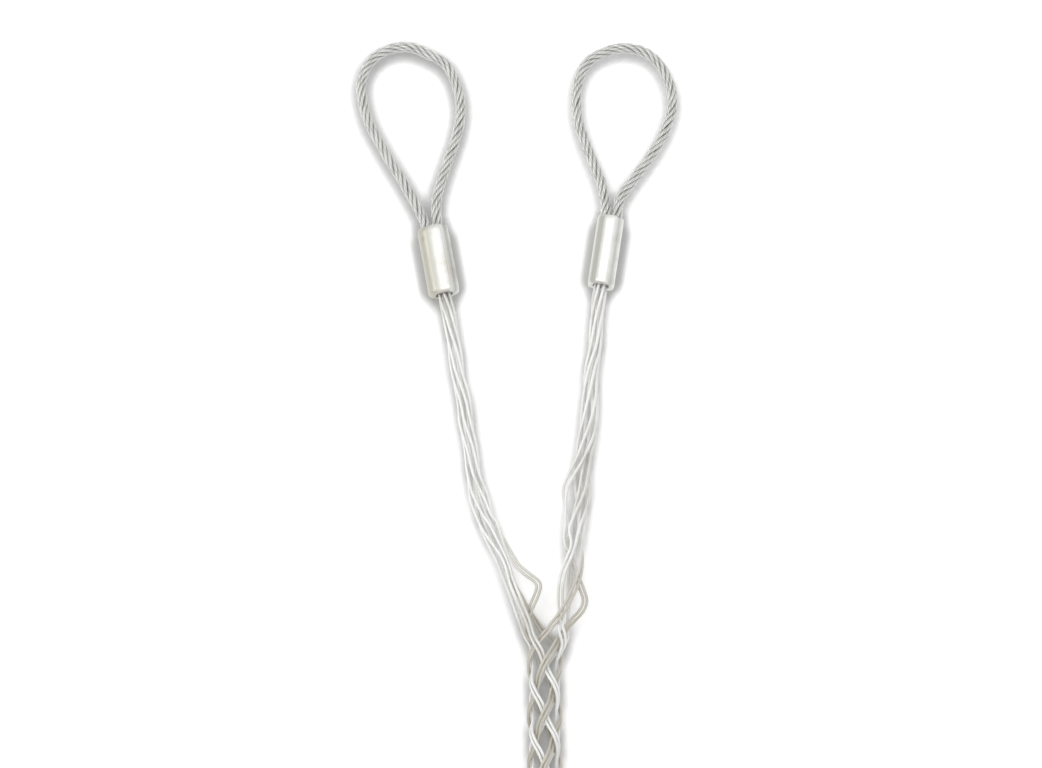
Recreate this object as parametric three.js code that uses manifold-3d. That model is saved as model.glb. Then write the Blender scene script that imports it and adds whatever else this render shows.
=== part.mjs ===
// Double-eye cable pulling grip: a woven wire mesh tube, split into two legs, each crimped to a rope eye.
// It lies flat as it would come to rest: +Y points to the eyes, +Z up, millimetres.
import * as THREE from "three";
import * as BufferGeometryUtils from "three/addons/utils/BufferGeometryUtils.js";
import Module from "manifold-3d";

const wasm = await Module();
wasm.setup();

// Main sizes
const tubeLength = 87;
const legLength = 125;
const legSpread = 61.2;
const eyeLength = 76;
const eyeWidth = 38.2;

// Mesh strands
const strandDiameter = 1.2;
const strandSides = 5;
const strandClearance = 0.3;
const pairClearance = 0.18;

// Woven tube
const boreDiameter = 8.0;
const wovenLevels = 9;
const pairsPerDirection = 4;
const flatPhase = 36;
const bendSteps = 6;

// Mouth of the tube, where the two legs part
const mouthY = -10.4;
const mouthStretch = 0.4;
const mouthShift = 2.0;
const mouthLength = 15;

// Legs
const leftTwistLay = -112;
const rightTwistLay = 95;
const legHeight = 5.6;
const legBundleRadius = 2.15;
const ringPairAngle = 30;
const bundleRise = 0.25;
const coreSpread = 0.35;
const legSampleStep = 2.0;
const strandTolerance = 0.12;

// Easing of strands that come too close
const easeRounds = 60;
const easeReach = 6;
const easeShare = 0.35;
const easeSmoothing = 0.3;
const easedStations = 6;

// Eye ropes
const ropeDiameter = 4.3;
const ropeLay = 24;
const ropeStrands = 6;
const ropeStep = 3;
const ropeClearance = 0.3;
const ropeStraightEnd = 1.5;

// Ferrules
const ferruleLength = 28;
const ferruleThickness = 10.4;
const ferruleWidth = 12.3;
const ferruleTopFlat = 6.2;
const ferruleSideFlat = 3.0;
const ferruleEdgeChamfer = 0.4;
const ropeDepth = 12.5;
const strandDepth = 11.5;

const degrees = Math.PI / 180;
const strandRadius = strandDiameter / 2;
const crossingOffset = (strandDiameter + strandClearance) / 2;
const weaveRadius = boreDiameter / 2 + strandRadius + crossingOffset;
const tubeHeight = weaveRadius + crossingOffset + strandRadius;
const levelSpacing = tubeLength / wovenLevels;
const pitch = 2 * pairsPerDirection * levelSpacing;
const helixAngle = Math.atan((2 * Math.PI * weaveRadius) / pitch);
const pairOffset = (strandDiameter + pairClearance) / 2;
const halfStepAngle = 90 / pairsPerDirection;
const ropeSpacing = ropeDiameter + ropeClearance / 2;

const smooth = (t) => THREE.MathUtils.smoothstep(t, 0, 1);
const point = (x, y, z) => new THREE.Vector3(x, y, z);

// The weave: distance s runs down the tube from its mouth, +Y to -Y.
// At its mouth the tube is drawn out sideways.
function mouthFade(s) {
  return 1 - smooth(s / mouthLength);
}

function weavePoint(angle, radius, s) {
  const fade = mouthFade(s);
  return point(
    radius * (1 + mouthStretch * fade) * Math.cos(angle) + mouthShift * fade,
    mouthY - s,
    tubeHeight + radius * Math.sin(angle),
  );
}

// Over and under: +1 lies outside, -1 inside, level through each crossing.
function weaveWave(s) {
  const phase = (s / levelSpacing + 0.5) * 180;
  const turn = THREE.MathUtils.euclideanModulo(phase + 90, 360) - 90;
  const fromCrossing = turn < 90 ? Math.abs(turn) : Math.abs(turn - 180);
  const height = Math.min(1, (90 - fromCrossing) / (90 - flatPhase));
  return turn < 90 ? height : -height;
}

// One strand of a pair. hand +1 climbs round with its angle growing down the tube, -1 the other way.
function weaveStrandPoint(run, side, s) {
  const angle = (run.angle + (run.hand * 360 * s) / pitch) * degrees;
  const radius = weaveRadius + run.hand * crossingOffset * weaveWave(s);
  const across = side * pairOffset;
  const shiftedAngle = angle + (across * Math.cos(helixAngle)) / radius;
  const shiftedS = s - run.hand * across * Math.sin(helixAngle);
  return weavePoint(shiftedAngle, radius, shiftedS);
}

// Stations down the tube: both ends of each level crossing and the middle between two.
function weaveStations() {
  const flat = (flatPhase / 180) * levelSpacing;
  const stations = [];
  for (let level = 0; level < wovenLevels; level += 1) {
    const crossing = (level + 0.5) * levelSpacing;
    stations.push(crossing - flat, crossing + flat, crossing + levelSpacing / 2);
  }
  return stations;
}

// The tail: each pair of one hand turns back as a pair of the other, round a bend that lies on the tube.
function tailBend(run, inner) {
  const start = tubeLength;
  const startAngle = run.angle + (run.hand * 360 * start) / pitch;
  const centreAngle = (startAngle + halfStepAngle) * degrees;
  const bendRadius = (halfStepAngle * degrees * weaveRadius) / Math.cos(helixAngle);
  const wireRadius = bendRadius + (inner ? -pairOffset : pairOffset);
  const centreS = start - bendRadius * Math.sin(helixAngle);
  const points = [];
  for (let step = 1; step < bendSteps; step += 1) {
    const turn = helixAngle + ((Math.PI - 2 * helixAngle) * step) / bendSteps;
    const angle = centreAngle - (wireRadius * Math.cos(turn)) / weaveRadius;
    points.push(weavePoint(angle, weaveRadius, centreS + wireRadius * Math.sin(turn)));
  }
  return points;
}

// The ferrules' mouths, where the legs end
const leftFerrule = {
  mouth: point(-0.637 * legSpread, 0.985 * legLength, ferruleThickness / 2),
  lean: 10.3,
  onSide: false,
};
const rightFerrule = {
  mouth: point(0.363 * legSpread, 1.011 * legLength, ferruleWidth / 2),
  lean: -8.6,
  onSide: true,
};

function ferruleDirection(ferrule) {
  return point(-Math.sin(ferrule.lean * degrees), Math.cos(ferrule.lean * degrees), 0);
}

// Each leg's route, chosen by eye: the share of the way up to its ferrule, how far it wanders
// sideways from the straight line to it, and half the bundle's width there.
const leftLegRoute = [
  [0.94, -0.7, 2.2],
  [0.87, -2.0, 2.15],
  [0.80, -3.3, 2.3],
  [0.74, -4.8, 2.15],
  [0.65, -5.9, 2.15],
  [0.57, -8.0, 2.4],
  [0.49, -9.3, 2.3],
  [0.41, -11.3, 2.5],
  [0.33, -12.1, 3.4],
  [0.27, -12.3, 3.1],
  [0.23, -11.5, 3.7],
];
const rightLegRoute = [
  [0.95, 0.2, 2.15],
  [0.88, 0.9, 2.15],
  [0.80, 2.1, 2.2],
  [0.73, 2.2, 2.3],
  [0.64, 3.6, 2.8],
  [0.57, 4.7, 3.1],
  [0.52, 5.0, 3.2],
  [0.46, 5.1, 2.8],
  [0.40, 5.5, 3.1],
  [0.34, 6.3, 3.8],
  [0.27, 6.4, 3.8],
  [0.21, 6.7, 3.6],
];

// The pairs that each leg hands to the tube. angle is at the tube's mouth and slot in the leg's
// lower end, 0 to the right and 90 on top. skip is how many of the weave's stations the pair misses.
// The route lists chosen points through the crotch: x, y, z and the way the pair's flat side faces.
const leftLeg = {
  name: "left",
  ferrule: leftFerrule,
  route: leftLegRoute,
  twistLay: leftTwistLay,
  runs: {
    topInner: {
      hand: -1, angle: 157.5, slot: 110, skip: 0,
      route: [
        [-15.0, 16.0, 8.6, 100],
        [-12.3, 6.7, 9.4, 100],
        [-9.3, -1.0, 10.2, 105],
        [-6.5, -8.2, 10.8, 115],
      ],
    },
    knee: {
      hand: 1, angle: 202.5, slot: -10, skip: 1,
      route: [
        [-13.4, 18.6, 9.0, 80],
        [-10.2, 13.2, 10.4, 80],
        [-5.9, 9.3, 11.0, 88],
        [-2.3, 6.0, 11.0, 90],
        [-3.0, 2.1, 10.9, 95],
        [-4.6, -1.7, 10.3, 105],
        [-6.1, -5.3, 8.8, 130],
        [-7.4, -8.4, 6.8, 165],
        [-7.0, -12.0, 4.8, 200],
      ],
    },
    outer: {
      hand: -1, angle: 247.5, slot: 230, skip: 1,
      route: [
        [-17.8, 16.8, 5.0, 250],
        [-14.4, 8.0, 4.0, 240],
        [-11.5, 0.2, 3.2, 235],
        [-9.4, -6.3, 2.6, 230],
        [-7.3, -12.0, 2.1, 228],
      ],
    },
    under: {
      hand: 1, angle: 292.5, core: 110, skip: 1,
      route: [
        [-14.2, 13.3, 6.3, 110],
        [-11.3, 5.7, 6.5, 130],
        [-7.3, -0.6, 6.1, 165],
        [-4.2, -5.8, 4.5, 210],
        [-1.3, -9.8, 3.1, 245],
        [1.9, -13.4, 2.6, 275],
      ],
    },
  },
};
const rightLeg = {
  name: "right",
  ferrule: rightFerrule,
  route: rightLegRoute,
  twistLay: rightTwistLay,
  runs: {
    topOuter: {
      hand: 1, angle: 112.5, slot: -20, skip: 1,
      route: [
        [14.4, 19.3, 7.6, 15],
        [14.0, 12.7, 8.8, 40],
        [12.6, 7.3, 10.2, 60],
        [10.5, 2.0, 11.5, 75],
        [7.4, -4.2, 12.0, 85],
        [4.6, -8.0, 11.7, 92],
        [1.2, -12.2, 10.9, 105],
      ],
    },
    knee: {
      hand: 1, angle: 22.5, slot: 220, skip: 0,
      route: [
        [7.9, 22.5, 5.8, 180],
        [9.6, 18.0, 6.2, 130],
        [11.5, 12.4, 7.0, 105],
        [13.4, 6.8, 7.4, 90],
        [15.5, 0.5, 7.6, 75],
        [14.5, -3.1, 7.8, 65],
        [11.6, -6.8, 8.5, 55],
        [8.5, -10.4, 9.2, 45],
      ],
    },
    topInner: {
      hand: -1, angle: 67.5, slot: 100, skip: 0,
      route: [
        [11.1, 21.8, 8.6, 100],
        [9.4, 17.0, 8.9, 105],
        [7.3, 11.6, 8.8, 110],
        [6.2, 5.4, 8.6, 110],
        [6.0, -0.6, 8.9, 95],
        [6.2, -5.5, 9.9, 75],
        [6.1, -10.4, 11.1, 60],
      ],
    },
    under: {
      hand: -1, angle: 337.5, core: 90, skip: 0,
      route: [
        [11.0, 21.7, 4.2, 80],
        [10.2, 12.5, 4.8, 70],
        [9.7, 4.8, 5.8, 50],
        [9.3, -0.7, 6.0, 25],
        [9.0, -6.0, 5.2, 0],
        [8.6, -10.1, 4.0, -20],
      ],
    },
  },
};

// One pair of the right leg bows out towards the middle, low on the leg.
const bow = { run: rightLeg.runs.knee, y: 45, reach: 9, out: 3.0 };

// A smooth curve through the leg's middle, from inside the ferrule to where the crotch begins.
function legCurve(leg) {
  const { mouth } = leg.ferrule;
  const up = ferruleDirection(leg.ferrule);
  const points = [mouth.clone().addScaledVector(up, strandDepth), mouth.clone().addScaledVector(up, -1)];
  for (const [share, wander] of leg.route) {
    points.push(point(share * mouth.x + wander, share * mouth.y, legHeight));
  }
  return new THREE.CatmullRomCurve3(points, false, "centripetal");
}

function bundleHalfWidth(leg, y) {
  const share = y / leg.ferrule.mouth.y;
  const stations = [[1, 0, legBundleRadius], ...leg.route];
  for (let i = 1; i < stations.length; i += 1) {
    const [upper, , upperWidth] = stations[i - 1];
    const [lower, , lowerWidth] = stations[i];
    if (share >= lower) {
      const between = THREE.MathUtils.clamp((upper - share) / (upper - lower), 0, 1);
      return THREE.MathUtils.lerp(upperWidth, lowerWidth, smooth(between));
    }
  }
  return leg.route.at(-1)[2];
}

// A strand in the leg: six lie round an oval that turns slowly along the leg, two in its middle.
function legStrandPoints(leg, run, side) {
  const curve = legCurve(leg);
  const length = curve.getLength();
  const count = Math.round(length / legSampleStep);
  const points = [];
  for (let i = 0; i < count; i += 1) {
    const centre = curve.getPointAt(i / count);
    const tangent = curve.getTangentAt(i / count);
    const sideways = point(-tangent.y, tangent.x, 0).normalize();
    const twist = (360 * length * (1 - i / count)) / leg.twistLay;
    const widening = bundleHalfWidth(leg, centre.y) - legBundleRadius;
    let turn = run.slot - twist + side * ringPairAngle;
    let width = legBundleRadius + widening;
    let height = legBundleRadius + bundleRise * widening;
    if (run.core) {
      turn = run.core - twist + side * 90;
      height = crossingOffset;
      width = crossingOffset + coreSpread * widening;
    }
    const strand = centre.addScaledVector(sideways, width * Math.cos(turn * degrees));
    strand.z += height * Math.sin(turn * degrees);
    if (run === bow.run) {
      strand.x -= bow.out * Math.exp(-(((strand.y - bow.y) / bow.reach) ** 2));
    }
    points.push(strand);
  }
  return points;
}

// The crotch: the pair's chosen points, its two strands side by side across the pair's path.
function crotchPoints(run, side, before, after) {
  const centres = run.route.map(([x, y, z]) => point(x, y, z));
  const path = [before, ...centres, after];
  return centres.map((centre, i) => {
    const facing = run.route[i][3] * degrees;
    const along = path[i + 2].clone().sub(path[i]).normalize();
    const across = along.cross(point(Math.cos(facing), 0, Math.sin(facing))).normalize();
    return centre.clone().addScaledVector(across, side * pairOffset);
  });
}

// The whole upper run of a strand, from inside the ferrule down to the woven tube.
function upperRun(leg, run, side) {
  const legPoints = legStrandPoints(leg, run, side);
  const legEnd = legPoints.at(-1);
  const firstWoven = weaveStations().slice(run.skip, run.skip + 2)
    .map((s) => weaveStrandPoint(run, side, s));
  const crotch = crotchPoints(run, side, legEnd, firstWoven[0]);
  const joined = new THREE.CatmullRomCurve3(
    [legPoints.at(-4), legEnd, ...crotch, ...firstWoven],
    false,
    "centripetal",
  );
  const count = Math.round(joined.getLength() / legSampleStep);
  const free = joined.getSpacedPoints(count)
    .filter((p) => p.y < legEnd.y - 1 && p.y > firstWoven[0].y + 1);
  return [...legPoints, ...free];
}

// Strands that come too close in the legs and crotch are eased apart, as stiff wires shoulder each other.
function pushApart(strands, a, b, push) {
  const least = strandDiameter + strandClearance;
  const own = strands[a].points;
  const other = strands[b].points;
  const onSegment = point(0, 0, 0);
  const segment = new THREE.Line3();
  for (let i = strands[a].fixedStart; i < own.length; i += 1) {
    for (let k = 1; k < other.length; k += 1) {
      if (Math.abs(other[k].y - own[i].y) <= easeReach) {
        segment.set(other[k - 1], other[k]);
        segment.closestPointToPoint(own[i], true, onSegment);
        const apart = own[i].clone().sub(onSegment);
        const distance = apart.length();
        if (distance < least && distance > 0) {
          apart.multiplyScalar((easeShare * (least - distance)) / distance);
          push[a][i].add(apart);
          push[b][k].sub(apart);
        }
      }
    }
  }
}

function easeApart(strands) {
  const start = strands.map((strand) => strand.points.map((p) => p.clone()));
  for (let round = 0; round < easeRounds; round += 1) {
    const push = strands.map((strand) => strand.points.map(() => point(0, 0, 0)));
    for (let a = 0; a < strands.length; a += 1) {
      for (let b = 0; b < strands.length; b += 1) {
        if (a !== b) {
          pushApart(strands, a, b, push);
        }
      }
    }
    strands.forEach((strand, a) => {
      const free = (i) => i >= strand.fixedStart && i < strand.fixedEnd;
      const moved = strand.points.map((p, i) => (
        free(i) ? p.clone().add(push[a][i]).sub(start[a][i]) : point(0, 0, 0)
      ));
      for (let i = strand.fixedStart; i < strand.fixedEnd; i += 1) {
        const around = moved[i - 1].clone().add(moved[i + 1]).multiplyScalar(0.5);
        strand.points[i] = start[a][i].clone().add(moved[i].clone().lerp(around, easeSmoothing));
      }
    });
  }
}

// Keeps only the points that the strand's shape needs.
function thin(points, tolerance) {
  if (points.length < 3) {
    return points;
  }
  const chord = new THREE.Line3(points[0], points.at(-1));
  const onChord = point(0, 0, 0);
  let furthest = 0;
  let index = 0;
  points.forEach((p, i) => {
    const distance = chord.closestPointToPoint(p, true, onChord).distanceTo(p);
    if (distance > furthest) {
      furthest = distance;
      index = i;
    }
  });
  if (furthest <= tolerance) {
    return [points[0], points.at(-1)];
  }
  const before = thin(points.slice(0, index + 1), tolerance);
  const after = thin(points.slice(index), tolerance);
  return [...before, ...after.slice(1)];
}

// A closed body swept along points; section(i) gives the radii of the ring and its turn in radians.
function sweep(points, section) {
  const tangents = points.map((p, i) => {
    const next = points[Math.min(i + 1, points.length - 1)];
    const last = points[Math.max(i - 1, 0)];
    const before = p.clone().sub(last).normalize();
    const after = next.clone().sub(p).normalize();
    return before.add(after).normalize();
  });
  const positions = [];
  const triangles = [];
  let across = point(0, 0, 1).cross(tangents[0]).normalize();
  const sides = section(0).radii.length;
  points.forEach((p, i) => {
    across = across.clone().addScaledVector(tangents[i], -across.dot(tangents[i])).normalize();
    const upward = tangents[i].clone().cross(across);
    const { radii, turn } = section(i);
    radii.forEach((radius, k) => {
      const angle = turn + (2 * Math.PI * k) / sides;
      const corner = p.clone()
        .addScaledVector(across, radius * Math.cos(angle))
        .addScaledVector(upward, radius * Math.sin(angle));
      positions.push(corner.x, corner.y, corner.z);
    });
    for (let k = 0; i > 0 && k < sides; k += 1) {
      const next = (k + 1) % sides;
      const lower = (i - 1) * sides;
      const upper = i * sides;
      triangles.push(lower + k, lower + next, upper + next, lower + k, upper + next, upper + k);
    }
  });
  const top = (points.length - 1) * sides;
  const firstCentre = positions.length / 3;
  const lastCentre = firstCentre + 1;
  positions.push(...points[0].toArray(), ...points.at(-1).toArray());
  for (let k = 0; k < sides; k += 1) {
    const next = (k + 1) % sides;
    triangles.push(firstCentre, next, k, lastCentre, top + k, top + next);
  }
  const geometry = new THREE.BufferGeometry();
  geometry.setAttribute("position", new THREE.Float32BufferAttribute(positions, 3));
  geometry.setIndex(triangles);
  return geometry;
}

function strandGeometry(points) {
  const radii = Array(strandSides).fill(strandRadius);
  return sweep(points, () => ({ radii, turn: 0 }));
}

// A laid rope: six lobes that turn right-handed along its path.
function ropeGeometry(points) {
  const strandOfRope = ropeDiameter / 6;
  const valley = 2 * strandOfRope * Math.cos(30 * degrees) + 0.2 * strandOfRope;
  const radii = [];
  for (let k = 0; k < ropeStrands; k += 1) {
    radii.push(ropeDiameter / 2, valley);
  }
  let travelled = 0;
  const turns = points.map((p, i) => {
    travelled += p.distanceTo(points[Math.max(i - 1, 0)]);
    return (2 * Math.PI * travelled) / ropeLay;
  });
  return sweep(points, (i) => ({ radii, turn: turns[i] }));
}

// The eye: a teardrop from one rope end in the ferrule, round the top and back to the other end.
// Chosen points, as shares of the eye's length up from the ferrule and of its width across.
const leftEye = [
  [0.09, -0.09], [0.17, -0.14], [0.29, -0.22], [0.41, -0.31], [0.53, -0.39], [0.64, -0.45],
  [0.76, -0.47], [0.87, -0.44], [0.97, -0.29], [1.01, -0.08], [1.00, 0.12], [0.94, 0.30],
  [0.88, 0.44], [0.78, 0.51], [0.67, 0.53], [0.56, 0.49], [0.45, 0.40], [0.35, 0.29],
  [0.25, 0.19], [0.15, 0.10],
];
const rightEye = [
  [0.10, -0.09], [0.20, -0.17], [0.30, -0.28], [0.41, -0.40], [0.51, -0.49], [0.62, -0.54],
  [0.73, -0.55], [0.83, -0.49], [0.90, -0.34], [0.94, -0.16], [0.94, 0.04], [0.90, 0.21],
  [0.80, 0.37], [0.69, 0.45], [0.58, 0.44], [0.46, 0.38], [0.34, 0.28], [0.23, 0.17],
  [0.11, 0.06],
];

function eyeCurve(ferrule, outline) {
  const up = ferruleDirection(ferrule);
  const sideways = point(up.y, -up.x, 0);
  const top = ferrule.mouth.clone().addScaledVector(up, ferruleLength);
  const half = ropeSpacing / 2;
  const place = (along, across) => top.clone()
    .addScaledVector(up, along)
    .addScaledVector(sideways, across);
  return new THREE.CatmullRomCurve3([
    place(-ropeDepth, -half),
    place(0, -half),
    place(ropeStraightEnd, -half),
    ...outline.map(([along, across]) => place(along * eyeLength, across * eyeWidth)),
    place(ropeStraightEnd, half),
    place(0, half),
    place(-ropeDepth, half),
  ], false, "centripetal");
}

// Solids for cutting, from three.js geometry with its shared corners merged.
function solidOf(geometry) {
  geometry.deleteAttribute("normal");
  geometry.deleteAttribute("uv");
  const merged = BufferGeometryUtils.mergeVertices(geometry, 1e-4);
  return new wasm.Manifold(new wasm.Mesh({
    numProp: 3,
    vertProperties: new Float32Array(merged.attributes.position.array),
    triVerts: new Uint32Array(merged.index.array),
  }));
}

function geometryOf(solid) {
  const mesh = solid.getMesh();
  const geometry = new THREE.BufferGeometry();
  geometry.setAttribute("position", new THREE.BufferAttribute(mesh.vertProperties, 3));
  geometry.setIndex(new THREE.BufferAttribute(mesh.triVerts, 1));
  return geometry;
}

// The crimped sleeve stands along Z here: a hexagon with two corners pressed flat by the dies.
function ferruleOutline() {
  const halfTop = ferruleTopFlat / 2;
  const halfSide = ferruleSideFlat / 2;
  const halfWidth = ferruleWidth / 2;
  const halfThickness = ferruleThickness / 2;
  return new THREE.Shape([
    new THREE.Vector2(halfTop, halfThickness),
    new THREE.Vector2(-halfTop, halfThickness),
    new THREE.Vector2(-halfWidth, halfSide),
    new THREE.Vector2(-halfWidth, -halfSide),
    new THREE.Vector2(-halfTop, -halfThickness),
    new THREE.Vector2(halfTop, -halfThickness),
    new THREE.Vector2(halfWidth, -halfSide),
    new THREE.Vector2(halfWidth, halfSide),
  ]);
}

// The rope bore holds both rope ends side by side; the strand bore holds the leg's bundle.
function ropeBore(turned) {
  const radius = ropeDiameter / 2 + ropeClearance;
  const half = ropeSpacing / 2;
  const outline = new THREE.Shape();
  outline.absarc(half, 0, radius, -Math.PI / 2, Math.PI / 2, false);
  outline.absarc(-half, 0, radius, Math.PI / 2, 1.5 * Math.PI, false);
  const geometry = new THREE.ExtrudeGeometry(outline, {
    depth: ropeDepth + 1 + ropeClearance,
    bevelEnabled: false,
    curveSegments: 12,
  });
  if (turned) {
    geometry.rotateZ(Math.PI / 2);
  }
  geometry.translate(0, 0, ferruleLength - ropeDepth - ropeClearance);
  return geometry;
}

function strandBore() {
  const radius = legBundleRadius + strandRadius + ropeClearance;
  const depth = strandDepth + ropeClearance;
  const geometry = new THREE.CylinderGeometry(radius, radius, depth + 1, 24);
  geometry.rotateX(Math.PI / 2);
  geometry.translate(0, 0, (depth - 1) / 2);
  return geometry;
}

function ferruleGeometry(turned) {
  const sleeve = new THREE.ExtrudeGeometry(ferruleOutline(), {
    depth: ferruleLength - 2 * ferruleEdgeChamfer,
    bevelEnabled: true,
    bevelThickness: ferruleEdgeChamfer,
    bevelSize: ferruleEdgeChamfer,
    bevelOffset: -ferruleEdgeChamfer,
    bevelSegments: 1,
  });
  sleeve.translate(0, 0, ferruleEdgeChamfer);
  const solid = solidOf(sleeve)
    .subtract(solidOf(ropeBore(turned)))
    .subtract(solidOf(strandBore()));
  return geometryOf(solid);
}

// Materials
const galvanised = { color: 0xd9dbd6, roughness: 0.34, metalness: 0.85 };
const aluminium = { color: 0xdcdccb, roughness: 0.42, metalness: 0.8 };

const grip = new THREE.Group();
grip.name = "cable_pulling_grip";

function addMesh(name, geometry, look) {
  geometry.computeVertexNormals();
  const mesh = new THREE.Mesh(geometry, new THREE.MeshStandardMaterial(look));
  mesh.name = name;
  grip.add(mesh);
  return mesh;
}

// Ferrules
for (const leg of [leftLeg, rightLeg]) {
  const { ferrule } = leg;
  const mesh = addMesh(`${leg.name}_ferrule`, ferruleGeometry(ferrule.onSide), aluminium);
  mesh.position.copy(ferrule.mouth);
  mesh.rotation.set(-Math.PI / 2, 0, ferrule.lean * degrees, "ZXY");
  if (ferrule.onSide) {
    mesh.rotateZ(Math.PI / 2);
  }
}

// Eye ropes
for (const [leg, outline] of [[leftLeg, leftEye], [rightLeg, rightEye]]) {
  const curve = eyeCurve(leg.ferrule, outline);
  const count = Math.round(curve.getLength() / ropeStep);
  addMesh(`${leg.name}_eye_rope`, ropeGeometry(curve.getSpacedPoints(count)), galvanised);
}

// Mesh strands: each runs down one pair of the tube, round the tail and up another pair.
const allRuns = [leftLeg, rightLeg].flatMap((leg) => (
  Object.values(leg.runs).map((run) => ({ leg, run }))
));
const upperStrands = new Map();
for (const { leg, run } of allRuns) {
  for (const side of [-1, 1]) {
    const upper = upperRun(leg, run, side);
    const woven = weaveStations().slice(run.skip).map((s) => weaveStrandPoint(run, side, s));
    upperStrands.set(`${run.hand} ${run.angle} ${side}`, {
      points: [...upper, ...woven.slice(0, easedStations)],
      upperCount: upper.length,
      fixedStart: Math.round(strandDepth / legSampleStep) + 1,
      fixedEnd: upper.length + easedStations / 2,
      woven: woven.slice(easedStations),
    });
  }
}
easeApart([...upperStrands.values()]);

function runPoints({ run }, side) {
  const strand = upperStrands.get(`${run.hand} ${run.angle} ${side}`);
  const upper = thin(strand.points.slice(0, strand.upperCount), strandTolerance);
  return [...upper, ...strand.points.slice(strand.upperCount), ...strand.woven];
}

const endTurn = (tubeLength * 360) / pitch;
let strandNumber = 0;
for (const down of allRuns.filter(({ run }) => run.hand > 0)) {
  const meetingAngle = down.run.angle + endTurn + 2 * halfStepAngle;
  const up = allRuns.find(({ run }) => {
    const away = THREE.MathUtils.euclideanModulo(run.angle - endTurn - meetingAngle + 180, 360) - 180;
    return run.hand < 0 && Math.abs(away) < 1;
  });
  for (const inner of [true, false]) {
    strandNumber += 1;
    const side = inner ? 1 : -1;
    const points = [
      ...runPoints(down, side),
      ...tailBend(down.run, inner),
      ...runPoints(up, -side).reverse(),
    ];
    addMesh(`mesh_strand_${strandNumber}`, strandGeometry(points), galvanised);
  }
}

// The origin lies under the middle of the grip, on the surface that it rests on.
const extent = new THREE.Box3().setFromObject(grip);
const middle = extent.getCenter(point(0, 0, 0));
grip.position.set(-middle.x, -middle.y, -extent.min.z);

export default grip;
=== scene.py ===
"""A double-eye cable pulling grip of galvanised wire, laid flat on a white table.

The solids give every route and size. This script dresses them: each mesh strand
becomes a twisted strand of wires, each eye a rope of six laid strands, and each
ferrule gets rolled edges and the dull satin of pressed aluminium.
"""

import math

import bpy
import numpy as np
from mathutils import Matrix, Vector
from mathutils.kdtree import KDTree


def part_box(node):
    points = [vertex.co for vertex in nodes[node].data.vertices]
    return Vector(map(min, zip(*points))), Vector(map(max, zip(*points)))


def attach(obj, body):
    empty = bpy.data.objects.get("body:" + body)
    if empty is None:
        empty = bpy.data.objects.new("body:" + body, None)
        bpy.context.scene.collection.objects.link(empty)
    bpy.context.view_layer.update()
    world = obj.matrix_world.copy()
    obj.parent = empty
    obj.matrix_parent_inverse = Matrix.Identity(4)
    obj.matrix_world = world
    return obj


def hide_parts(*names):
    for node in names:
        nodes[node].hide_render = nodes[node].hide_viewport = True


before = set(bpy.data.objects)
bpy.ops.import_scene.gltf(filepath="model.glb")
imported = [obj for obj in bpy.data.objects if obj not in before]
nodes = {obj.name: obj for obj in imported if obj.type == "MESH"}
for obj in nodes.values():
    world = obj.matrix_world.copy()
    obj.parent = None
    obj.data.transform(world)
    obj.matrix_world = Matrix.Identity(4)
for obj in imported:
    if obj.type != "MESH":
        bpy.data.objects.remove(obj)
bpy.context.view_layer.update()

MM = 0.001

# Corners of a solid's mesh that are nearer than this are one place
SAME_PLACE = 0.002 * MM

# Mesh strands: six wires round a core, seen as six turning lobes
STRAND_DIAMETER = 1.2 * MM
STRAND_LAY = 6.6 * MM
STRAND_STEP = 0.5 * MM
STRAND_WIRES = 6
POINTS_PER_WIRE = 4

# Painted shade and dirt between strands: full this near to another strand's middle, and none from the
# reach on
STRAND_TOUCHING = 0.6 * STRAND_DIAMETER
STRAND_REACH = 0.9 * MM

# How dull each wire of a strand is, beside the next
WIRE_DULLNESS = (0.0, 0.7, 0.1, 0.9, 0.2, 0.5)

# The runs that wind right-handed are darker and olive in the tube, partly tarnish and partly a painted
# dark reflection, and brighten again up the legs
DARK_RUNS_FROM = 60.0 * MM
DARK_RUNS_FADE = 26.0 * MM

# Eye ropes: six strands laid right-handed, their wires laid the other way
ROPE_DIAMETER = 4.3 * MM
ROPE_LAY = 24.0 * MM
ROPE_STRANDS = 6
ROPE_STEP = 0.7 * MM
ROPE_WIRES = 6
ROPE_WIRE_LAY = 10.0 * MM
ROPE_POINTS_PER_WIRE = 4
# Painted shade and dirt between a rope's strands ends at this reach
ROPE_REACH = 1.1 * MM

# How far a rope's strands wander from an even lay, in radians, and how slow their waves are
ROPE_SLACK = 0.07
ROPE_WAVES = (2.1 * MM, 4.7 * MM, 9.0 * MM)
ROPE_SEED = 4

# Ferrules, in millimetres. An outline is seen from the strand end: across and up from the
# middle, and how far the corner is rolled over. Each has a small shoulder on its right, where
# the press left a flash.
FERRULE_LENGTH = 28.0
ROLL_POINTS = 5
LEFT_LEAN = math.radians(10.3)
LEFT_OUTLINE = (
    (3.1, -5.2, 0.9),
    (6.15, -1.5, 0.9),
    (6.15, 1.2, 0.4),
    (5.9, 1.75, 0.25),
    (4.75, 2.2, 0.15),
    (3.0, 5.15, 0.3),
    (1.2, 5.2, 0.8),
    (-1.6, 4.75, 1.3),
    (-4.0, 3.75, 1.2),
    (-5.9, 1.8, 0.9),
    (-6.15, -1.5, 0.9),
    (-3.1, -5.2, 0.9),
)
RIGHT_LEAN = math.radians(-8.6)
RIGHT_OUTLINE = (
    (1.5, -6.15, 0.9),
    (5.2, -3.1, 0.9),
    (5.2, 2.3, 0.4),
    (4.9, 2.9, 0.25),
    (3.5, 3.4, 0.15),
    (1.6, 6.05, 0.12),
    (-1.7, 5.95, 0.8),
    (-3.3, 4.55, 1.0),
    (-5.2, 2.9, 0.9),
    (-5.2, -3.1, 0.9),
    (-1.5, -6.15, 0.9),
)

# Half sizes of the oval mouths round the rope and round the strands, and their depth
ROPE_MOUTH = (4.65, 2.6)
STRAND_MOUTH = (3.3, 3.1)
MOUTH_DEPTH = 2.2

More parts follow.
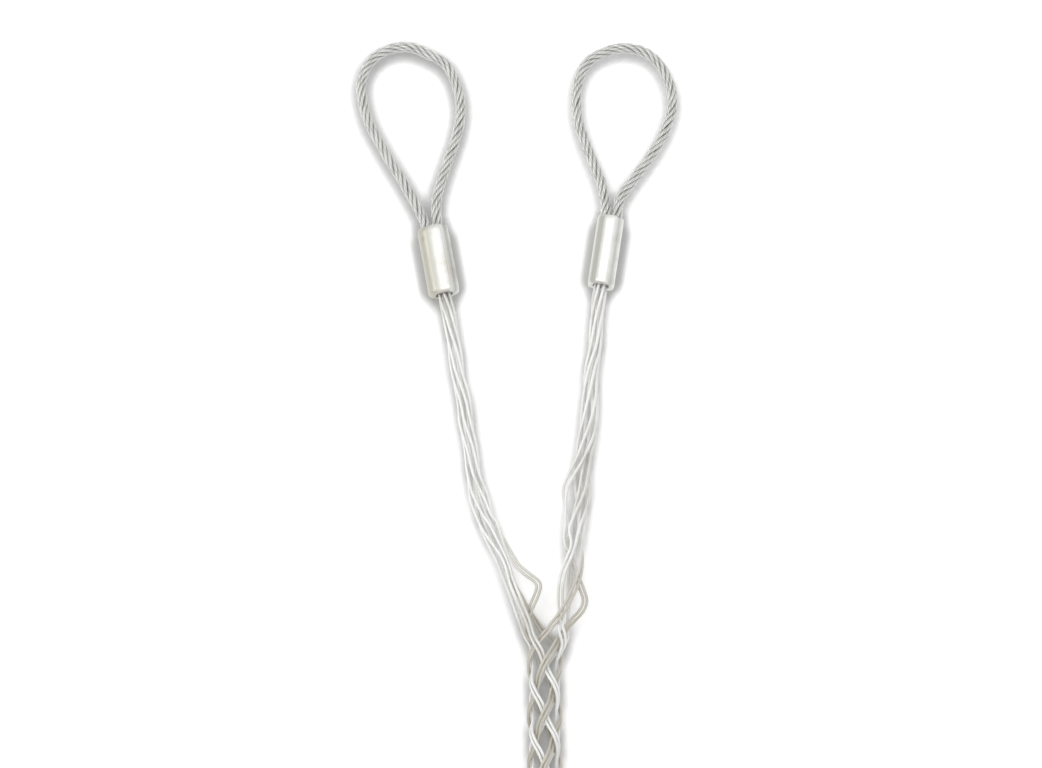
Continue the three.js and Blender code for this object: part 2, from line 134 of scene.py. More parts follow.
# The rolled ends: how far in from the end, and the share of the roll that is left there
END_PROFILE = ((0.0, 1.0), (0.2, 0.6), (0.6, 0.3), (1.2, 0.1), (2.0, 0.0))

# The plain body between them: where it starts, how far apart its rings are, and how much of
# the width its shoulder and the rest are nicked
BODY_START = 3.0
BODY_STEP = 1.0
SHOULDER_NICKS = 0.035
BODY_NICKS = 0.004

# How far left of the middle the oxide and the painted shade on the left side are as thick as they get
OXIDE_AND_SHADE_WIDTH = 3.5

# The brown stain: how far in from the left ferrule's left, upper end and top, and its radius
STAIN_INSET = Vector((3.2 * MM, -6.6 * MM, -2.4 * MM))
STAIN_RADIUS = 1.1 * MM
STAIN_BROWN = (0.33, 0.25, 0.13)

# The photographed view: 1042 by 768 pixels, 0.39 mm to a pixel
VIEW_WIDTH = 406.0 * MM
VIEW_ELEVATION = math.radians(74.4)
VIEW_DISTANCE = 1.5
VIEW_CENTRE = (1.6 * MM, 23.3 * MM, 2.9 * MM)
SENSOR_WIDTH = 36.0

# White table: half its side in metres, its faint grain, and how far its white is lifted
TABLE_HALF = 3.0
TABLE_WHITE = (0.915, 0.925)
TABLE_LIFT = 0.24

# Its painted shadow round the grip, drawn in the table's colour from how near the grip is: how far it
# reaches, how open the table is where the shadow is full and where it ends, and how dark it is
SHADOW_REACH = 6.5 * MM
SHADOW_OPENNESS = (0.68, 0.95)
SHADOW_SHARE = 0.56

# Light: the sky at the table's edge and overhead, then each lamp's place, size, watts and colour
SKY_AT_EDGE = 0.72
SKY_OVERHEAD = 1.06
LAMPS = {
    "overhead": ((-0.25, 0.15, 1.2), 0.5, 2.1, (1.0, 1.0, 1.0)),
    "from_the_left": ((-1.1, 0.1, 0.7), 0.5, 1.1, (1.0, 1.0, 0.96)),
}


# Routes, read back from the solids

def ring_centres(node):
    """The middle of each ring of a swept solid, from one end to the other."""
    mesh = nodes[node].data
    numbers = {}
    merged = []
    places = []
    for vertex in mesh.vertices:
        key = tuple(round(c / SAME_PLACE) for c in vertex.co)
        if key not in numbers:
            numbers[key] = len(places)
            places.append(np.array(vertex.co))
        merged.append(numbers[key])
    beside = [set() for _ in places]
    for edge in mesh.edges:
        a, b = (merged[v] for v in edge.vertices)
        if a != b:
            beside[a].add(b)
            beside[b].add(a)

    def layers_from(start):
        """The places one edge from the start, two edges from it, and so on."""
        layers = [[start]]
        seen = {start}
        while layers[-1]:
            following = sorted({n for v in layers[-1] for n in beside[v]} - seen)
            seen.update(following)
            layers.append(following)
        return layers[:-1]

    far_end = layers_from(0)[-1][0]
    layers = layers_from(far_end)
    return np.array([np.mean([places[v] for v in layer], axis=0) for layer in layers[1:-1]])


def smooth_route(points, step):
    """A centripetal curve through the points, resampled at an even step."""
    before = 2 * points[0] - points[1]
    after = 2 * points[-1] - points[-2]
    p = np.vstack([before, points, after])
    fine = []
    for i in range(1, len(p) - 2):
        p0, p1, p2, p3 = p[i - 1:i + 3]
        t0 = 0.0
        t1 = t0 + math.sqrt(np.linalg.norm(p1 - p0))
        t2 = t1 + math.sqrt(np.linalg.norm(p2 - p1))
        t3 = t2 + math.sqrt(np.linalg.norm(p3 - p2))
        count = max(4, int(np.linalg.norm(p2 - p1) / (0.25 * step)))
        t = np.linspace(t1, t2, count, endpoint=False)[:, None]
        a1 = (t1 - t) / (t1 - t0) * p0 + (t - t0) / (t1 - t0) * p1
        a2 = (t2 - t) / (t2 - t1) * p1 + (t - t1) / (t2 - t1) * p2
        a3 = (t3 - t) / (t3 - t2) * p2 + (t - t2) / (t3 - t2) * p3
        b1 = (t2 - t) / (t2 - t0) * a1 + (t - t0) / (t2 - t0) * a2
        b2 = (t3 - t) / (t3 - t1) * a2 + (t - t1) / (t3 - t1) * a3
        fine.append((t2 - t) / (t2 - t1) * b1 + (t - t1) / (t2 - t1) * b2)
    fine = np.vstack(fine + [points[-1:]])
    travelled = np.concatenate([[0.0], np.cumsum(np.linalg.norm(np.diff(fine, axis=0), axis=1))])
    even = np.linspace(0.0, travelled[-1], max(3, int(round(travelled[-1] / step)) + 1))
    route = np.column_stack([np.interp(even, travelled, fine[:, k]) for k in range(3)])
    return route, even


def carried_frames(route):
    """Directions across and above a route that turn no more than the route does."""
    along = np.gradient(route, axis=0)
    along /= np.linalg.norm(along, axis=1)[:, None]
    across = np.cross((0.0, 0.0, 1.0), along[0])
    across /= np.linalg.norm(across)
    acrosses = []
    for tangent in along:
        across = across - tangent * np.dot(across, tangent)
        across = across / np.linalg.norm(across)
        acrosses.append(across)
    acrosses = np.array(acrosses)
    return along, acrosses, np.cross(along, acrosses)


# Twisted wire as geometry

def lobed_section(outer, wires, per_wire):
    """Radii round a strand, one round lobe for each outer wire, and how deep in a groove."""
    packing = math.sin(math.pi / wires)
    wire = outer * packing / (1.0 + packing)
    middle = outer - wire
    radii = []
    for k in range(wires * per_wire):
        turned = (k % per_wire / per_wire - 0.5) * 2 * math.pi / wires
        reach = middle * math.cos(turned)
        side = middle * math.sin(turned)
        radii.append(reach + math.sqrt(max(wire * wire - side * side, 0.0)))
    radii = np.array(radii)
    grooves = (radii.max() - radii) / (radii.max() - radii.min())
    return radii, grooves


def swept_places(route, radii, turns):
    """Points of the section of radii swept along the route, turned at each step."""
    _, across, above = carried_frames(route)
    angles = turns[:, None] + np.arange(len(radii))[None, :] * 2 * math.pi / len(radii)
    ring = (
        route[:, None, :]
        + across[:, None, :] * (radii * np.cos(angles))[:, :, None]
        + above[:, None, :] * (radii * np.sin(angles))[:, :, None]
    )
    return ring.reshape(-1, 3)


def closed_shell(steps, sides, first=0):
    """Faces of a closed tube of rings, numbered from the first point."""
    here = np.arange(sides)
    beyond = (here + 1) % sides
    faces = []
    for i in range(steps - 1):
        low = first + i * sides
        high = low + sides
        faces.append(np.column_stack([low + here, low + beyond, high + beyond, high + here]))
    faces = np.vstack(faces).tolist()
    last = first + (steps - 1) * sides
    faces.append([first + k for k in range(sides - 1, -1, -1)])
    faces.append([last + k for k in range(sides)])
    return faces


def new_piece(name, places, faces, masks):
    """A smooth piece from points and faces, with a named mask value at each point."""
    mesh = bpy.data.meshes.new(name)
    mesh.from_pydata(places.tolist(), [], faces)
    mesh.polygons.foreach_set("use_smooth", [True] * len(mesh.polygons))
    for mask, values in masks.items():
        mesh.attributes.new(mask, "FLOAT", "POINT").data.foreach_set("value", values)
    mesh.update()
    piece = bpy.data.objects.new(name, mesh)
    bpy.context.scene.collection.objects.link(piece)
    return piece


def closeness(places, others, touching, reach):
    """How near points lie to other wires' middles: 1 where they touch, 0 from the reach on."""
    tree = KDTree(len(others))
    for i, middle in enumerate(others):
        tree.insert(middle, i)
    tree.balance()
    away = np.array([tree.find(place)[2] for place in places])
    return np.clip((reach - away) / (reach - touching), 0.0, 1.0)


# Shader groups

def new_group(name, inputs, outputs):
    """An empty shader group with its input and output nodes."""
    group = bpy.data.node_groups.new(name, "ShaderNodeTree")
    for socket, kind, value in inputs:
        made = group.interface.new_socket(name=socket, in_out="INPUT", socket_type=kind)
        made.default_value = value
    for socket, kind in outputs:
        group.interface.new_socket(name=socket, in_out="OUTPUT", socket_type=kind)
    return group, group.nodes.new("NodeGroupInput"), group.nodes.new("NodeGroupOutput")


def noise(tree, coordinates, scale, detail=3.0, roughness=0.55):
    """Soft noise from 0 to 1, at a fixed scale or at one that a socket gives."""
    node = tree.nodes.new("ShaderNodeTexNoise")
    node.inputs["Detail"].default_value = detail
    node.inputs["Roughness"].default_value = roughness
    if isinstance(scale, float):
        node.inputs["Scale"].default_value = scale
    else:
        tree.links.new(scale, node.inputs["Scale"])
    tree.links.new(coordinates, node.inputs["Vector"])
    return node.outputs["Fac"]


def spread(tree, value, low, high, to_low=0.0, to_high=1.0):
    """The value's stretch from low to high, spread over another stretch and kept inside it."""
    node = tree.nodes.new("ShaderNodeMapRange")
    node.inputs["From Min"].default_value = low
    node.inputs["From Max"].default_value = high
    node.inputs["To Min"].default_value = to_low
    node.inputs["To Max"].default_value = to_high
    tree.links.new(value, node.inputs["Value"])
    return node.outputs["Result"]


def blend_colours(tree, share, first, second):
    """The first colour with a share of the second laid over it."""
    node = tree.nodes.new("ShaderNodeMix")
    node.data_type = "RGBA"
    tree.links.new(share, node.inputs["Factor"])
    tree.links.new(first, node.inputs["A"])
    tree.links.new(second, node.inputs["B"])
    return node.outputs["Result"]


def arithmetic(tree, operation, first, second):
    """The result of one operation on two sockets, or on a socket and a number."""
    node = tree.nodes.new("ShaderNodeMath")
    node.operation = operation
    for socket, value in zip(node.inputs, (first, second)):
        if isinstance(value, float):
            socket.default_value = value
        else:
            tree.links.new(value, socket)
    return node.outputs["Value"]


def mask_of(tree, name):
    """A mask that the piece's points carry."""
    node = tree.nodes.new("ShaderNodeAttribute")
    node.attribute_name = name
    return node.outputs["Fac"]


def make_zinc_tone():
    """Bright zinc: dull grain, tarnished patches, runs darkened by tarnish and a painted dark
    reflection, and painted shade with some dirt in the grooves and where wires meet.
    """
    group, inside, outside = new_group(
        "zinc_tone",
        [
            ("Bright", "NodeSocketColor", (0.9, 0.9, 0.88, 1.0)),
            ("Dull", "NodeSocketColor", (0.6, 0.61, 0.57, 1.0)),
            # The colour of tarnish, also used for the painted dark reflection on some runs
            ("Tarnish And Shade", "NodeSocketColor", (0.5, 0.46, 0.37, 1.0)),
            # The colour of the painted shade and dirt in grooves and at contacts
            ("Shade And Dirt", "NodeSocketColor", (0.12, 0.11, 0.09, 1.0)),
            ("Groove Shade And Dirt", "NodeSocketFloat", 0.5),
            ("Clean Metal", "NodeSocketFloat", 0.8),
            ("Patch Scale", "NodeSocketFloat", 60.0),
            ("Grain Scale", "NodeSocketFloat", 1500.0),
        ],
        [
            ("Color", "NodeSocketColor"),
            ("Roughness", "NodeSocketFloat"),
            ("Metallic", "NodeSocketFloat"),
            ("Height", "NodeSocketFloat"),
        ],
    )
    place = group.nodes.new("ShaderNodeTexCoord").outputs["Object"]
    patches = noise(group, place, inside.outputs["Patch Scale"])
    grain = noise(group, place, inside.outputs["Grain Scale"], detail=2.0)
    dull_grain = spread(group, grain, 0.45, 0.72, 0.0, 0.6)
    dullness = arithmetic(group, "MAXIMUM", dull_grain, mask_of(group, "wire"))
    uneven = spread(group, patches, 0.3, 0.6, 0.9, 0.6)
    # Runs darkened partly by tarnish and partly by a painted dark reflection
    dark_runs = arithmetic(group, "MULTIPLY", mask_of(group, "tarnish_and_painted_shade"), uneven)
    dull_patches = spread(group, patches, 0.52, 0.74, 0.0, 0.45)
    tarnish_and_shade = arithmetic(group, "MAXIMUM", dull_patches, dark_runs)
    # Painted shade, with some dirt, in the grooves between wires and where wires and strands meet
    in_grooves = arithmetic(group, "MULTIPLY", mask_of(group, "groove"), inside.outputs["Groove Shade And Dirt"])
    at_contacts = arithmetic(group, "MULTIPLY", mask_of(group, "touching"), 0.7)
    shade_and_dirt = arithmetic(group, "MAXIMUM", in_grooves, at_contacts)
    toned = blend_colours(group, dullness, inside.outputs["Bright"], inside.outputs["Dull"])
    aged = blend_colours(group, tarnish_and_shade, toned, inside.outputs["Tarnish And Shade"])
    shaded_and_dirty = blend_colours(group, shade_and_dirt, aged, inside.outputs["Shade And Dirt"])
    polish = spread(group, grain, 0.3, 0.8, 0.26, 0.46)
    rough = arithmetic(group, "ADD", polish, arithmetic(group, "MULTIPLY", shade_and_dirt, 0.3))
    clean = arithmetic(group, "SUBTRACT", 1.0, arithmetic(group, "MULTIPLY", shade_and_dirt, 0.7))
    metal = arithmetic(group, "MULTIPLY", clean, inside.outputs["Clean Metal"])
    group.links.new(shaded_and_dirty, outside.inputs["Color"])
    group.links.new(rough, outside.inputs["Roughness"])
    group.links.new(metal, outside.inputs["Metallic"])
    group.links.new(grain, outside.inputs["Height"])
    return group


def make_pressed_satin():
    """Pressed aluminium: drawn streaks along the sleeve, cloudy oxide, oxide with painted shade on the
    sleeve's left side, painted shade with some dirt in the mouths and inward corners, and fine nicks.
    """
    group, inside, outside = new_group(
        "pressed_satin",
        [
            ("Metal", "NodeSocketColor", (0.86, 0.86, 0.82, 1.0)),
            # The colour of oxide, also used for the painted shade on the sleeve's left side
            ("Oxide And Shade", "NodeSocketColor", (0.66, 0.66, 0.58, 1.0)),
            # The colour of the painted shade and dirt in the mouths and inward corners
            ("Shade And Dirt", "NodeSocketColor", (0.10, 0.09, 0.08, 1.0)),
            ("Cloud Scale", "NodeSocketFloat", 140.0),
        ],
        [
            ("Color", "NodeSocketColor"),
            ("Roughness", "NodeSocketFloat"),
            ("Metallic", "NodeSocketFloat"),
            ("Height", "NodeSocketFloat"),
        ],
    )
    place = group.nodes.new("ShaderNodeTexCoord").outputs["Object"]
    stretch = group.nodes.new("ShaderNodeMapping")
    stretch.inputs["Scale"].default_value = (1.0, 0.06, 1.0)
    group.links.new(place, stretch.inputs["Vector"])
    streaks = noise(group, stretch.outputs["Vector"], 2600.0, detail=4.0)
    clouds = noise(group, place, inside.outputs["Cloud Scale"], detail=4.0)
    nicks = noise(group, place, 1900.0, detail=1.0)
    cloudy = spread(group, clouds, 0.42, 0.74, 0.0, 0.7)
    # Oxide clouds, with painted shade in the oxide's colour on the sleeve's left side
    oxide_and_shade = arithmetic(group, "MAXIMUM", cloudy, mask_of(group, "tarnish_and_painted_shade"))
    # Painted shade, with some dirt, in the mouths and the inward corners
    shade_and_dirt = mask_of(group, "groove")
    colour = blend_colours(group, oxide_and_shade, inside.outputs["Metal"], inside.outputs["Oxide And Shade"])
    colour = blend_colours(group, shade_and_dirt, colour, inside.outputs["Shade And Dirt"])
    rough = spread(group, streaks, 0.3, 0.75, 0.28, 0.46)
    raised = arithmetic(group, "MULTIPLY", streaks, 0.6)
    sunken = spread(group, nicks, 0.66, 0.74, 0.0, -0.5)
    height = arithmetic(group, "ADD", raised, sunken)
    group.links.new(colour, outside.inputs["Color"])
    group.links.new(rough, outside.inputs["Roughness"])
    group.links.new(spread(group, shade_and_dirt, 0.0, 1.0, 0.8, 0.0), outside.inputs["Metallic"])
    group.links.new(height, outside.inputs["Height"])
    return group


# Materials

def new_material(name):
    """A material, its nodes and its shader."""
    material = bpy.data.materials.new(name)
    material.use_nodes = True
    return material, material.node_tree, material.node_tree.nodes["Principled BSDF"]


def add_bump(tree, shader, height, strength, distance):
    """Fine relief from a height, without moving the surface."""
    bump = tree.nodes.new("ShaderNodeBump")
    bump.inputs["Strength"].default_value = strength
    bump.inputs["Distance"].default_value = distance
    tree.links.new(height, bump.inputs["Height"])
    tree.links.new(bump.outputs["Normal"], shader.inputs["Normal"])


def zinc_material(name, colours, values):
    """Galvanised wire, with the colours and values that the zinc tone group takes."""
    material, tree, shader = new_material(name)
    tone = tree.nodes.new("ShaderNodeGroup")
    tone.node_tree = ZINC_TONE
    for socket, colour in colours.items():
        tone.inputs[socket].default_value = (*colour, 1.0)
    for socket, value in values.items():
        tone.inputs[socket].default_value = value
    tree.links.new(tone.outputs["Color"], shader.inputs["Base Color"])
    tree.links.new(tone.outputs["Roughness"], shader.inputs["Roughness"])
    tree.links.new(tone.outputs["Metallic"], shader.inputs["Metallic"])
    add_bump(tree, shader, tone.outputs["Height"], 0.12, 0.03 * MM)
    return material


def ferrule_material(name, metal, oxide_and_shade, stain=None):
    """Pressed aluminium, with a small brown stain round the place given, if any."""
    material, tree, shader = new_material(name)
    satin = tree.nodes.new("ShaderNodeGroup")
    satin.node_tree = PRESSED_SATIN
    satin.inputs["Metal"].default_value = (*metal, 1.0)
    satin.inputs["Oxide And Shade"].default_value = (*oxide_and_shade, 1.0)
    colour = satin.outputs["Color"]
    if stain:
        place = tree.nodes.new("ShaderNodeTexCoord").outputs["Object"]
        away = tree.nodes.new("ShaderNodeVectorMath")
        away.operation = "DISTANCE"
        away.inputs[1].default_value = stain
        tree.links.new(place, away.inputs[0])
        ragged = arithmetic(tree, "MULTIPLY", noise(tree, place, 900.0), 1.6 * STAIN_RADIUS)
        edge = arithmetic(tree, "ADD", ragged, away.outputs["Value"])
        mask = spread(tree, edge, 0.9 * STAIN_RADIUS, 2.0 * STAIN_RADIUS, 0.6, 0.0)
        brown = tree.nodes.new("ShaderNodeMix")
        brown.data_type = "RGBA"
        brown.inputs["B"].default_value = (*STAIN_BROWN, 1.0)
        tree.links.new(mask, brown.inputs["Factor"])
        tree.links.new(colour, brown.inputs["A"])
        colour = brown.outputs["Result"]
    tree.links.new(colour, shader.inputs["Base Color"])
    tree.links.new(satin.outputs["Roughness"], shader.inputs["Roughness"])
    tree.links.new(satin.outputs["Metallic"], shader.inputs["Metallic"])
    add_bump(tree, shader, satin.outputs["Height"], 0.25, 0.05 * MM)
    return material


ZINC_TONE = make_zinc_tone()
PRESSED_SATIN = make_pressed_satin()

# Strands: the tarnish colour also paints a dark reflection on the right-handed runs, and the groove
# share sets painted shade with some dirt
strand_zinc = zinc_material(
    "strand_zinc",
    {"Bright": (1.0, 1.0, 0.99), "Dull": (0.95, 0.95, 0.93), "Tarnish And Shade": (0.46, 0.42, 0.32)},
    {"Groove Shade And Dirt": 0.25, "Clean Metal": 0.5, "Patch Scale": 45.0, "Grain Scale": 1400.0},
)
# Ropes: the groove share sets painted shade, with some dirt, deep in the lay
rope_zinc = zinc_material(
    "rope_zinc",
    {"Bright": (1.0, 1.0, 0.99), "Dull": (0.63, 0.64, 0.61), "Tarnish And Shade": (0.88, 0.88, 0.81)},
    {"Groove Shade And Dirt": 0.95, "Clean Metal": 0.8, "Patch Scale": 60.0, "Grain Scale": 1100.0},
)


# Mesh strands

def dark_run_share(route):
    """1 along a run that winds right-handed round the tube, fading up its leg, and 0 elsewhere: where
    tarnish and a painted dark reflection darken it.
    """
    around = np.unwrap(np.arctan2(route[:, 2] - TUBE_Z, route[:, 0] - TUBE_X))
    tail = int(np.argmin(route[:, 1]))
    share = np.zeros(len(route))
    for run in (slice(0, tail), slice(tail, len(route))):
        y = route[run, 1]
        woven = y < -DARK_RUNS_FROM
        turned = around[run][woven][-1] - around[run][woven][0]
        climbed = y[woven][-1] - y[woven][0]
        if turned * climbed < 0.0:
            share[run] = np.clip(1.0 - (y + DARK_RUNS_FROM) / DARK_RUNS_FADE, 0.0, 1.0)
    return share


def mesh_strands():
    """Each strand as a twist of six wires, with painted shade and some dirt in its grooves and where
    it meets other strands, and its right-handed runs darkened by tarnish and a painted dark
    reflection.
    """
    section, grooves = lobed_section(STRAND_DIAMETER / 2, STRAND_WIRES, POINTS_PER_WIRE)
    for node, (route, travelled) in STRAND_ROUTES.items():
        places = swept_places(route, section, 2 * math.pi * travelled / STRAND_LAY)
        others = np.vstack([r for other, (r, _) in STRAND_ROUTES.items() if other != node])
        # Masks: painted shade and dirt in grooves and at contacts, wire tone, and the painted dark
        # reflection with tarnish on right-handed runs
        masks = {
            "groove": np.tile(grooves, len(route)),
            "wire": np.tile(np.repeat(WIRE_DULLNESS, POINTS_PER_WIRE), len(route)),
            "touching": closeness(places, others, STRAND_TOUCHING, STRAND_REACH),
            "tarnish_and_painted_shade": np.repeat(dark_run_share(route), len(section)),
        }
        faces = closed_shell(len(route), len(section))
        strand = new_piece(node.replace("mesh", "twisted"), places, faces, masks)
        strand.data.materials.append(strand_zinc)
        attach(strand, "root")
        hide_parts(node)


STRAND_ROUTES = {
    node: smooth_route(ring_centres(node), STRAND_STEP)
    for node in (f"mesh_strand_{number}" for number in range(1, 9))
}
WOVEN_PART = np.vstack([
    route[route[:, 1] < -DARK_RUNS_FROM] for route, _ in STRAND_ROUTES.values()
])
TUBE_X, _, TUBE_Z = (WOVEN_PART.min(axis=0) + WOVEN_PART.max(axis=0)) / 2
mesh_strands()


# Eye ropes

def laid_rope(node, piece_name):
    """Six strands laid round the rope's middle, as one piece."""
    middle, travelled = smooth_route(ring_centres(node), ROPE_STEP)
    _, across, above = carried_frames(middle)
    # Six strands round a core of their own size make a rope three of them across
    strand_radius = ROPE_DIAMETER / 6
    around = ROPE_DIAMETER / 2 - strand_radius
    section, grooves = lobed_section(strand_radius, ROPE_WIRES, ROPE_POINTS_PER_WIRE)
    chance = np.random.default_rng(ROPE_SEED)
    routes = []
    for k in range(ROPE_STRANDS):
        slack = sum(
            np.sin(travelled / length + chance.uniform(0.0, 2 * math.pi))
            for length in ROPE_WAVES
        )
        turn = 2 * math.pi * (travelled / ROPE_LAY + k / ROPE_STRANDS) + ROPE_SLACK * slack
        routes.append(middle + around * (
            across * np.cos(turn)[:, None] + above * np.sin(turn)[:, None]
        ))
    steps = len(middle)
    twist = -2 * math.pi * travelled / ROPE_WIRE_LAY
    places, faces, touching = [], [], []
    for k, route in enumerate(routes):
        strand = swept_places(route, section, twist)
        others = np.vstack([other for i, other in enumerate(routes) if i != k])
        faces += closed_shell(steps, len(section), first=k * steps * len(section))
        touching.append(closeness(strand, others, strand_radius, ROPE_REACH))
        places.append(strand)
    # Masks: painted shade and dirt in grooves and at contacts, and wire tone
    masks = {
        "groove": np.tile(grooves, steps * ROPE_STRANDS),
        "wire": np.tile(np.repeat(WIRE_DULLNESS, ROPE_POINTS_PER_WIRE), steps * ROPE_STRANDS),
        "touching": np.concatenate(touching),
        "tarnish_and_painted_shade": np.zeros(steps * len(section) * ROPE_STRANDS),
    }
    piece = new_piece(piece_name, np.vstack(places), faces, masks)
    piece.data.materials.append(rope_zinc)
    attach(piece, "root")
    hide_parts(node)


laid_rope("left_eye_rope", "left_laid_rope")
laid_rope("right_eye_rope", "right_laid_rope")


# Ferrules

def rolled_outline(corners):
    """Points round a closed outline, each corner rolled over by its own distance, and which
    of them lie in an inward corner."""
    points = []
    inward = []
    for i, (x, y, roll) in enumerate(corners):
        corner = np.array([x, y])
        before = np.array(corners[i - 1][:2]) - corner
        after = np.array(corners[(i + 1) % len(corners)][:2]) - corner
        start = corner + before * min(roll / np.linalg.norm(before), 0.45)
        end = corner + after * min(roll / np.linalg.norm(after), 0.45)
        for t in np.linspace(0.0, 1.0, ROLL_POINTS):
            points.append((1 - t) ** 2 * start + 2 * t * (1 - t) * corner + t * t * end)
            inward.append(float(before[0] * after[1] > before[1] * after[0]))
    return np.array(points), np.array(inward)


def oval_towards(points, half_sizes):
    """The oval's points in the same directions as the outline's points."""
    half_across, half_up = half_sizes
    directions = points / np.linalg.norm(points, axis=1)[:, None]
    radius = 1.0 / np.hypot(directions[:, 0] / half_across, directions[:, 1] / half_up)
    return directions * radius[:, None]


def end_rings(outline, mouth, end_roll):
    """From the floor of a mouth, over its rim and the sleeve's rolled end, to the plain body.
    Each ring is its depth in from the end, its points, and how much painted shade it gets."""
    oval = oval_towards(outline, mouth)
    reach = np.linalg.norm(outline, axis=1)[:, None]
    # The mouth's floor and walls get painted shade
    rings = [(MOUTH_DEPTH, oval * 0.85, 1.0), (0.3, oval, 0.75), (0.0, oval * 1.05, 0.1)]
    for depth, share in END_PROFILE:
        rings.append((depth, outline * (1.0 - share * end_roll / reach), 0.0))
    return rings


def pressed_sleeve(node, lean, corners, end_roll, oxide_and_shade_share, seed, material):
    """A sleeve swept from its outline, with rolled ends, open mouths and a nicked shoulder."""
    low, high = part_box(node)
    centre = (low + high) / 2
    along = Vector((-math.sin(lean), math.cos(lean), 0.0))
    across = Vector((along.y, -along.x, 0.0))
    outline, inward = rolled_outline(corners)
    half = FERRULE_LENGTH / 2
    chance = np.random.default_rng(seed)
    shoulder = (outline[:, 0] > 0.85 * outline[:, 0].max()) & (outline[:, 1] > 1.0)
    rings = []
    for depth, points, painted_shade_share in end_rings(outline, STRAND_MOUTH, end_roll):
        rings.append((depth - half, points, painted_shade_share))
    for station in np.arange(BODY_START - half, half - BODY_START + BODY_STEP / 2, BODY_STEP):
        nick = 1.0 - shoulder * chance.uniform(0.0, SHOULDER_NICKS) - BODY_NICKS * chance.uniform()
        rings.append((station, outline * nick[:, None], 0.0))
    for depth, points, painted_shade_share in reversed(end_rings(outline, ROPE_MOUTH, end_roll)):
        rings.append((half - depth, points, painted_shade_share))
    places = [
        centre + (along * station + across * x) * MM + Vector((0.0, 0.0, y * MM))
        for station, points, _ in rings
        for x, y in points
    ]
    # Oxide with painted shade, thickest on the sleeve's left side
    oxide_and_shade = oxide_and_shade_share * np.clip(-outline[:, 0] / OXIDE_AND_SHADE_WIDTH, 0.0, 1.0)
    masks = {
        # Painted shade in the mouths and along the inward corners
        "groove": np.maximum.outer([painted_shade_share for _, _, painted_shade_share in rings], 0.35 * inward).ravel(),
        "tarnish_and_painted_shade": np.tile(oxide_and_shade, len(rings)),
    }
    faces = closed_shell(len(rings), len(outline))
    piece = new_piece(f"pressed_{node}", np.array(places), faces, masks)
    even = piece.modifiers.new("flat_faces", "WEIGHTED_NORMAL")
    even.keep_sharp = True
    piece.data.materials.append(material)
    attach(piece, "root")
    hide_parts(node)


left_low, left_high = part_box("left_ferrule")
left_stain = Vector((left_low.x, left_high.y, left_high.z)) + STAIN_INSET
# The second colour is the oxide's, also used for the painted shade on the sleeve's left side
left_metal = ferrule_material(
    "left_ferrule_metal", (0.71, 0.71, 0.69), (0.49, 0.48, 0.40), left_stain,
)
right_metal = ferrule_material("right_ferrule_metal", (0.82, 0.82, 0.80), (0.62, 0.62, 0.54))
pressed_sleeve(
    "left_ferrule", LEFT_LEAN, LEFT_OUTLINE,
    end_roll=0.9, oxide_and_shade_share=0.85, seed=12, material=left_metal,
)
pressed_sleeve(
    "right_ferrule", RIGHT_LEAN, RIGHT_OUTLINE,
    end_roll=0.45, oxide_and_shade_share=0.5, seed=13, material=right_metal,
)


# Table, light and camera

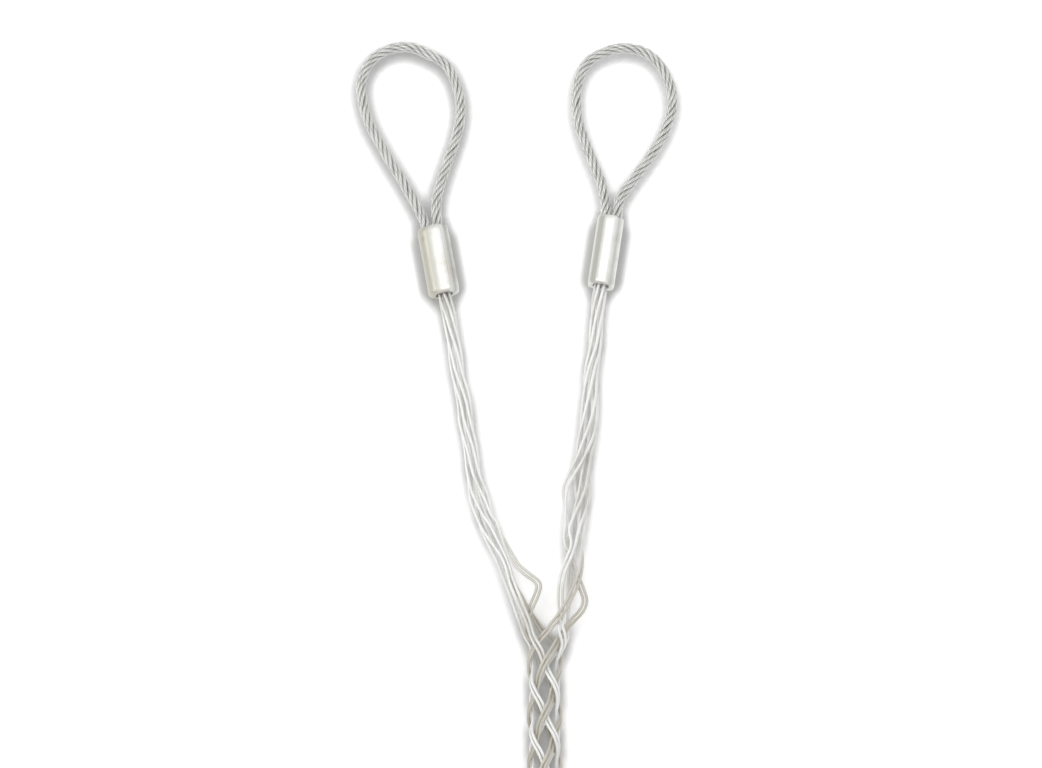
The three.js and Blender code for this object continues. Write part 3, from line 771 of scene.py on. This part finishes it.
def table_top():
    """A white table that keeps the grip's soft shadow, with a painted shadow round the grip in its
    colour, seen by camera rays only.
    """
    mesh = bpy.data.meshes.new("white_table")
    half = TABLE_HALF
    mesh.from_pydata(
        [(-half, -half, 0.0), (half, -half, 0.0), (half, half, 0.0), (-half, half, 0.0)],
        [],
        [(0, 1, 2, 3)],
    )
    table = bpy.data.objects.new("white_table", mesh)
    bpy.context.scene.collection.objects.link(table)
    material, tree, shader = new_material("white_table")
    grain = noise(tree, tree.nodes.new("ShaderNodeTexCoord").outputs["Object"], 40.0)
    # Painted shadow: the table's colour darkens near the grip, by ambient occlusion, for camera rays
    # only
    near = tree.nodes.new("ShaderNodeAmbientOcclusion")
    near.inputs["Distance"].default_value = SHADOW_REACH
    near.samples = 12
    rays = tree.nodes.new("ShaderNodeLightPath")
    painted_shade_share = spread(tree, near.outputs["AO"], *SHADOW_OPENNESS, SHADOW_SHARE, 0.0)
    painted_shade_share.node.interpolation_type = "SMOOTHSTEP"
    shadow = arithmetic(tree, "MULTIPLY", rays.outputs["Is Camera Ray"], painted_shade_share)
    light_part = arithmetic(tree, "SUBTRACT", 1.0, shadow)
    shade = arithmetic(tree, "MULTIPLY", spread(tree, grain, 0.3, 0.7, *TABLE_WHITE), light_part)
    tree.links.new(shade, shader.inputs["Base Color"])
    tree.links.new(shade, shader.inputs["Emission Color"])
    shader.inputs["Roughness"].default_value = 0.9
    shader.inputs["Specular IOR Level"].default_value = 0.0
    seen = arithmetic(tree, "MAXIMUM", rays.outputs["Is Camera Ray"], rays.outputs["Is Glossy Ray"])
    lift = spread(tree, seen, 0.0, 1.0, 0.0, TABLE_LIFT)
    tree.links.new(lift, shader.inputs["Emission Strength"])
    table.data.materials.append(material)


def soft_light(name, place, size, watts, colour):
    """A round lamp that faces the middle of the grip."""
    lamp = bpy.data.lights.new(name, "AREA")
    lamp.shape = "DISK"
    lamp.size = size
    lamp.energy = watts
    lamp.color = colour
    holder = bpy.data.objects.new(name, lamp)
    holder.location = place
    holder.rotation_euler = (-holder.location).to_track_quat("-Z", "Y").to_euler()
    bpy.context.scene.collection.objects.link(holder)


def photographed_camera():
    """A camera that looks down on the grip as the photograph does."""
    camera = bpy.data.cameras.new("camera")
    camera.sensor_width = SENSOR_WIDTH
    camera.lens = camera.sensor_width * VIEW_DISTANCE / VIEW_WIDTH
    camera.clip_end = 20.0
    holder = bpy.data.objects.new("camera", camera)
    x, y, z = VIEW_CENTRE
    holder.location = (
        x,
        y - VIEW_DISTANCE * math.cos(VIEW_ELEVATION),
        z + VIEW_DISTANCE * math.sin(VIEW_ELEVATION),
    )
    holder.rotation_euler = (math.pi / 2 - VIEW_ELEVATION, 0.0, 0.0)
    bpy.context.scene.collection.objects.link(holder)
    bpy.context.scene.camera = holder


def studio_sky():
    """White light from all round, brightest overhead."""
    world = bpy.data.worlds.new("studio")
    world.use_nodes = True
    tree = world.node_tree
    direction = tree.nodes.new("ShaderNodeTexCoord").outputs["Generated"]
    split = tree.nodes.new("ShaderNodeSeparateXYZ")
    tree.links.new(direction, split.inputs["Vector"])
    strength = spread(tree, split.outputs["Z"], 0.0, 1.0, SKY_AT_EDGE, SKY_OVERHEAD)
    background = tree.nodes["Background"]
    background.inputs["Color"].default_value = (1.0, 1.0, 1.0, 1.0)
    tree.links.new(strength, background.inputs["Strength"])
    return world


table_top()
for lamp_name, settings in LAMPS.items():
    soft_light(lamp_name, *settings)
photographed_camera()
bpy.context.scene.world = studio_sky()
bpy.context.scene.view_settings.view_transform = "Standard"
